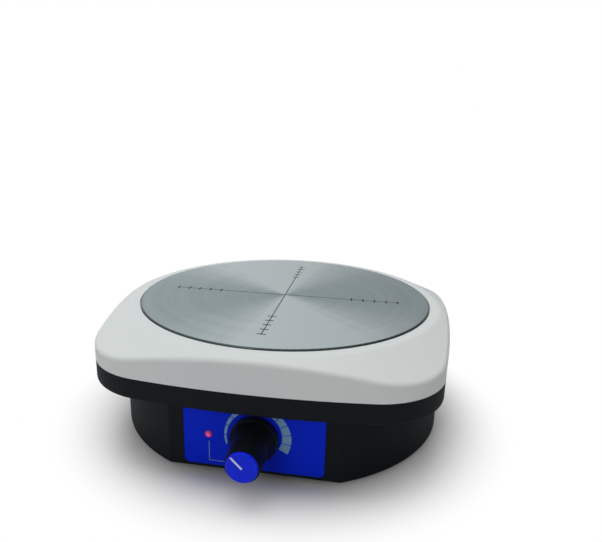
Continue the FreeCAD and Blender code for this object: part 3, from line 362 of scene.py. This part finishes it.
# turned, drawn or plated metals: stretch draws the tool lines out across an axis
metalLook = {"stretch": (1, 1, 12), "lines": 700.0, "cloud": 60.0, "darker": 0.72,
             "linesRough": 0.14, "bump": 0.08, "depth": 0.04 * mm}
metals = {
    "plated_steel": {"name": "platedSteel", "shade": (0.58, 0.59, 0.57), "rough": 0.28},
    "rating_foil": {"name": "ratingFoil", "shade": (0.66, 0.67, 0.68), "rough": 0.34,
                    "stretch": (12, 1, 1)},
    "pot_metal": {"name": "nickelCan", "shade": (0.62, 0.61, 0.58), "rough": 0.24},
    "brass": {"name": "turnedBrass", "shade": (0.72, 0.52, 0.24), "rough": 0.25},
    "motor_steel": {"name": "motorSteel", "shade": (0.48, 0.49, 0.50), "rough": 0.3},
    "bronze": {"name": "sinteredBronze", "shade": (0.52, 0.34, 0.17), "rough": 0.5},
    "laminations": {"name": "laminations", "shade": (0.24, 0.24, 0.25), "rough": 0.45,
                    "stretch": (1, 1, 60)},
    "copper": {"name": "enamelledCopper", "shade": (0.68, 0.30, 0.14), "rough": 0.3,
               "stretch": (1, 1, 40)},
    "magnet_nickel": {"name": "magnetNickel", "shade": (0.68, 0.67, 0.64), "rough": 0.16},
}


def metalFinish(own):
    look = {**metalLook, **own}
    finish = Finish(look["name"], Metallic=1.0)
    lines = finish.noise(look["lines"], detail=3.0, rough=0.6, stretch=look["stretch"])
    cloud = finish.noise(look["cloud"])
    darker = tuple(part * look["darker"] for part in look["shade"])
    finish.set("BaseColor", finish.blend((lines + cloud) * 0.5, look["shade"], darker))
    finish.set("Roughness", look["rough"] + lines * look["linesRough"])
    finish.bump(lines, look["bump"], look["depth"])
    return finish.material


def dressCad():
    # every material slot of the record gets its finish
    finishes = {"white_plastic": whiteMoulding(), "dark_plastic": darkMoulding(),
                "brushed_steel": brushedPlate(), "label_blue": blueFilm(), "lamp_red": lampGlow()}
    for slotName, own in mouldings.items():
        finishes[slotName] = mouldedFinish(own)
    for slotName, own in metals.items():
        finishes[slotName] = metalFinish(own)
    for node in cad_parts.values():
        for slot in node.material_slots:
            slot.material = finishes[slot.material.name.split(".")[0]]
    say("finishes on the CAD nodes")


def newTree(name, sizes):
    # a Geometry Nodes tree with one named input for each size
    group = bpy.data.node_groups.new(name, "GeometryNodeTree")
    for label, value in sizes.items():
        kind = "NodeSocketInt" if isinstance(value, int) else "NodeSocketFloat"
        socket = group.interface.new_socket(label, in_out="INPUT", socket_type=kind)
        socket.default_value = value
    group.interface.new_socket("Geometry", in_out="OUTPUT", socket_type="NodeSocketGeometry")
    tree = Tree(group)
    given = tree.add("NodeGroupInput")
    return tree, {label: tree.flow(given, label) for label in sizes}


def growMesh(name, tree, geometry, material, body):
    # ends the tree, runs it once on an empty mesh and keeps the result as a plain piece
    solid = tree.add("GeometryNodeRealizeInstances", None, Geometry=geometry)
    dressed = tree.add("GeometryNodeSetMaterial", None, Geometry=solid.outputs[0],
                       Material=material)
    last = tree.add("NodeGroupOutput")
    tree.nodeTree.links.new(dressed.outputs[0], last.inputs[0])
    seed = bpy.data.objects.new(name + "Seed", bpy.data.meshes.new(name + "Seed"))
    bpy.context.scene.collection.objects.link(seed)
    modifier = seed.modifiers.new("grow", "NODES")
    modifier.node_group = tree.nodeTree
    bpy.context.view_layer.update()
    evaluated = seed.evaluated_get(bpy.context.evaluated_depsgraph_get())
    mesh = bpy.data.meshes.new_from_object(evaluated)
    mesh.name = name
    bpy.data.objects.remove(seed)
    return keepPiece(name, mesh, body)


def keepPiece(name, mesh, body):
    piece = bpy.data.objects.new(name, mesh)
    bpy.context.scene.collection.objects.link(piece)
    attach(piece, body)
    return piece


scaleLook = {"armLength": 62.2 * mm, "lineWidth": 0.5 * mm, "tickLength": 4.2 * mm,
             "tickWidth": 0.85 * mm, "tickPitch": 6.2 * mm, "firstTick": 36.7 * mm,
             "tickCount": 5, "armCount": 4, "inkDepth": 0.06 * mm, "inkSink": 0.03 * mm}


def plateScale():
    # the cross scale on the plate: four arms, each with the same row of ticks
    tree, size = newTree("plateScale", scaleLook)
    arm = tree.add("GeometryNodeMeshCube", None,
                   Size=tree.vector(size["armLength"], size["lineWidth"], size["inkDepth"]))
    armPlace = tree.add("GeometryNodeTransform", None, Geometry=arm.outputs[0],
                        Translation=tree.vector(size["armLength"] / 2, 0.0, 0.0))
    tick = tree.add("GeometryNodeMeshCube", None,
                    Size=tree.vector(size["tickWidth"], size["tickLength"], size["inkDepth"]))
    row = tree.add("GeometryNodeMeshLine", {"mode": "OFFSET"}, Count=size["tickCount"],
                   StartLocation=tree.vector(size["firstTick"], 0.0, 0.0),
                   Offset=tree.vector(size["tickPitch"], 0.0, 0.0))
    ticks = tree.add("GeometryNodeInstanceOnPoints", None, Points=row.outputs[0],
                     Instance=tick.outputs[0])
    oneArm = tree.add("GeometryNodeJoinGeometry")
    for part in (armPlace, ticks):
        tree.nodeTree.links.new(part.outputs[0], oneArm.inputs[0])
    height = plateTop + size["inkDepth"] / 2 - size["inkSink"]
    middle = tree.add("GeometryNodeMeshLine", {"mode": "OFFSET"}, Count=size["armCount"],
                      Offset=(0.0, 0.0, 0.0), StartLocation=tree.vector(0.0, 0.0, height))
    turn = tree.flow(tree.add("GeometryNodeInputIndex")) / size["armCount"] * (2 * math.pi)
    arms = tree.add("GeometryNodeInstanceOnPoints", None, Points=middle.outputs[0],
                    Instance=oneArm.outputs[0], Rotation=tree.vector(0.0, 0.0, turn))
    return growMesh("plateScale", tree, arms.outputs[0], printedInk("scaleInk"),
                    "base")


dialLook = {"segments": 12, "start": math.radians(200.0), "end": math.radians(-27.5),
            "side": 1.2 * mm, "outer": 15.6 * mm, "thin": 0.8 * mm, "thick": 4.7 * mm,
            "gap": 0.09, "steps": 10, "inkDepth": 0.06 * mm, "inkSink": 0.02 * mm}


def dialRing():
    # the speed dial: segments round the knob that grow from the slow end to the fast one
    tree, size = newTree("dialRing", dialLook)
    # each segment starts as a unit block: X runs along the dial, Y across it, Z through the ink
    block = tree.add("GeometryNodeMeshCube", None, Size=(1.0, 1.0, 1.0),
                     VerticesX=size["steps"] + 1, VerticesY=2, VerticesZ=2)
    row = tree.add("GeometryNodeMeshLine", {"mode": "OFFSET"}, Count=size["segments"],
                   StartLocation=(0.5, 0.5, 0.0), Offset=(1.0, 0.0, 0.0))
    blocks = tree.add("GeometryNodeInstanceOnPoints", None, Points=row.outputs[0],
                      Instance=block.outputs[0], Scale=tree.vector(1.0 - size["gap"], 1.0, 1.0))
    strip = tree.add("GeometryNodeRealizeInstances", None, Geometry=blocks.outputs[0])
    x, across, through = tree.parts(tree.add("GeometryNodeInputPosition").outputs[0])
    along = x / size["segments"]
    angle = size["start"] + (size["end"] - size["start"]) * along
    width = size["thin"] + (size["thick"] - size["thin"]) * along
    radius = size["outer"] - width * (1.0 - across)
    face = labelFace - size["inkDepth"] / 2 + size["inkSink"]
    place = tree.vector(radius * angle.maths("COSINE") + (size["side"] + knobMiddle.x),
                        through * size["inkDepth"] + face,
                        radius * angle.maths("SINE") + knobMiddle.z)
    bent = tree.add("GeometryNodeSetPosition", None, Geometry=strip.outputs[0], Position=place)
    return growMesh("dialRing", tree, bent.outputs[0], printedInk("dialInk"),
                    "base")


def barMesh(name, bars, look, face, material):
    # flat printed bars on a face that looks along -Y, joined to one mesh
    front = face + look["inkSink"]
    verts = []
    faces = []
    for start, end in bars:
        along = (end - start).normalized()
        side = Vector((-along.y, along.x)) * (look["width"] / 2)
        first = len(verts)
        for y in (front, front - look["inkDepth"]):
            for corner in (start - side, end - side, end + side, start + side):
                verts.append((corner.x, y, corner.y))
        for quad in ((0, 3, 2, 1), (4, 5, 6, 7), (0, 1, 5, 4),
                     (1, 2, 6, 5), (2, 3, 7, 6), (3, 0, 4, 7)):
            faces.append([first + corner for corner in quad])
    mesh = bpy.data.meshes.new(name)
    mesh.from_pydata(verts, [], faces)
    mesh.materials.append(material)
    return mesh


lineLook = {"width": 0.45 * mm, "side": 0.2 * mm, "top": 3.6 * mm, "foot": 3.9 * mm,
            "reach": 12.0 * mm, "drop": 0.1 * mm, "inkDepth": 0.05 * mm, "inkSink": 0.01 * mm}


def guideLine():
    # the printed line from the lamp down and across to the knob
    look = lineLook
    corner = Vector((lampMiddle.x + look["side"], panelFoot + look["foot"]))
    down = (Vector((corner.x, lampMiddle.z - look["top"])), corner)
    across = (corner - Vector((look["width"] / 2, 0)),
              corner + Vector((look["reach"], -look["drop"])))
    mesh = barMesh("guideLine", [down, across], look, labelFace, printedInk("lineInk"))
    return keepPiece("guideLine", mesh, "base")


pointerLook = {"angle": math.radians(135.0), "reach": 6.6 * mm, "tail": -0.4 * mm,
               "width": 0.9 * mm, "inkDepth": 0.08 * mm, "inkSink": 0.02 * mm}


def pointerLine():
    # the white mark on the knob's cap, from its middle out to its rim
    look = pointerLook
    way = Vector((math.cos(look["angle"]), math.sin(look["angle"])))
    middle = Vector((knobMiddle.x, knobMiddle.z))
    bar = (middle + way * look["tail"], middle + way * look["reach"])
    mesh = barMesh("pointerLine", [bar], look, capFace, printedInk("pointerInk"))
    return keepPiece("pointerLine", mesh, "speed_knob")


floorLook = {"shade": (0.74, 0.74, 0.74), "shadeLow": (0.72, 0.72, 0.72), "specular": 0.1,
             "fibre": 60.0, "rough": 0.9, "fibreRough": 0.05,
             "fade": 0.1025, "fadeBlur": 0.0275, "half": 4.0}


def paperFloor():
    # plain paper near the object, where its shadow falls, that turns to pure white further out
    look = floorLook
    finish = Finish("paperFloor", SpecularIORLevel=look["specular"])
    fibre = finish.noise(look["fibre"], detail=3.0)
    finish.set("BaseColor", finish.blend(fibre, look["shade"], look["shadeLow"]))
    finish.set("Roughness", look["rough"] + fibre * look["fibreRough"])
    near = reach(*finish.parts(finish.place)[:2]).below(look["fade"], look["fadeBlur"])
    seen = finish.flow(finish.add("ShaderNodeLightPath"), "Is Camera Ray")
    white = finish.add("ShaderNodeEmission", None, Color=(1.0, 1.0, 1.0), Strength=1.0)
    mixed = finish.add("ShaderNodeMixShader", None, in0=(1.0 - near) * seen,
                       in1=finish.shader.outputs[0], in2=white.outputs[0])
    end = finish.nodeTree.nodes["Material Output"]
    finish.nodeTree.links.new(mixed.outputs[0], end.inputs["Surface"])
    return finish.material


def layFloor():
    half = floorLook["half"]
    corners = [(-half, -half, 0), (half, -half, 0), (half, half, 0), (-half, half, 0)]
    mesh = bpy.data.meshes.new("floor")
    mesh.from_pydata(corners, [], [(0, 1, 2, 3)])
    mesh.materials.append(paperFloor())
    floor = bpy.data.objects.new("floor", mesh)
    bpy.context.scene.collection.objects.link(floor)
    say("floor")


# how bright the room is for plain surfaces and for metal, which sees it brighter on the left
roomLook = {"light": 0.20, "mirror": 0.47, "lean": 0.75}


def room():
    # the camera sees a white room, metal sees a paler one, and the object is lit by a dim one
    look = roomLook
    world = bpy.data.worlds.new("room")
    world.use_nodes = True
    bpy.context.scene.world = world
    sky = Tree(world.node_tree)
    path = sky.add("ShaderNodeLightPath")
    seen = sky.flow(path, "Is Camera Ray")
    mirrored = sky.flow(path, "Is Glossy Ray")
    toRight = sky.parts(sky.add("ShaderNodeTexCoord").outputs["Generated"])[0]
    mirror = (1.0 - toRight * look["lean"]) * look["mirror"]
    back = world.node_tree.nodes["Background"]
    sky.feed(back.inputs["Color"], (1.0, 1.0, 1.0))
    sky.feed(back.inputs["Strength"], look["light"] + seen * (1.0 - look["light"])
             + mirrored * (mirror - look["light"]))
    say("room")


# the lamp overhead is left out of reflections: it would turn the plate plain white from above
lampLooks = {
    "keyLamp": {"at": (-0.35, -1.05, 0.55), "size": 0.45, "watts": 1.9, "mirrored": True},
    "fillLamp": {"at": (0.85, -0.45, 0.55), "size": 0.8, "watts": 0.3, "mirrored": True},
    "topLamp": {"at": (-0.15, 0.15, 1.15), "size": 0.9, "watts": 8.3, "mirrored": False},
}


def lamps():
    for name, look in lampLooks.items():
        data = bpy.data.lights.new(name, "AREA")
        data.shape = "DISK"
        data.size = look["size"]
        data.energy = look["watts"]
        lamp = bpy.data.objects.new(name, data)
        lamp.location = look["at"]
        aim = Vector((0, 0, plateTop)) - lamp.location
        lamp.rotation_euler = aim.to_track_quat("-Z", "Y").to_euler()
        lamp.visible_glossy = look["mirrored"]
        bpy.context.scene.collection.objects.link(lamp)
    say("lamps")


cameraLook = {"azimuth": math.radians(9.879), "elevation": math.radians(17.487),
              "roll": math.radians(1.241), "distance": 323.87 * mm, "sensor": 36.0,
              "lens": 34.86, "shiftX": 0.0262, "shiftY": 0.0393, "nearest": 10.0 * mm}


def camera():
    # looks at the middle of the plate's face
    look = cameraLook
    data = bpy.data.cameras.new("camera")
    data.sensor_width = look["sensor"]
    data.lens = look["lens"]
    data.shift_x = look["shiftX"]
    data.shift_y = look["shiftY"]
    data.clip_start = look["nearest"]
    eye = bpy.data.objects.new("camera", data)
    bpy.context.scene.collection.objects.link(eye)
    level = math.cos(look["elevation"])
    back = Vector((math.sin(look["azimuth"]) * level, -math.cos(look["azimuth"]) * level,
                   math.sin(look["elevation"])))
    place = Matrix.Translation(Vector((0, 0, plateTop)) + back * look["distance"])
    turn = back.to_track_quat("Z", "Y").to_matrix().to_4x4()
    eye.matrix_world = place @ turn @ Matrix.Rotation(look["roll"], 4, "Z")
    bpy.context.scene.camera = eye
    say("camera")


dressCad()
plateScale()
dialRing()
guideLine()
pointerLine()
say("printed marks")
layFloor()
room()
lamps()
camera()
bpy.context.scene.view_settings.view_transform = "Standard"
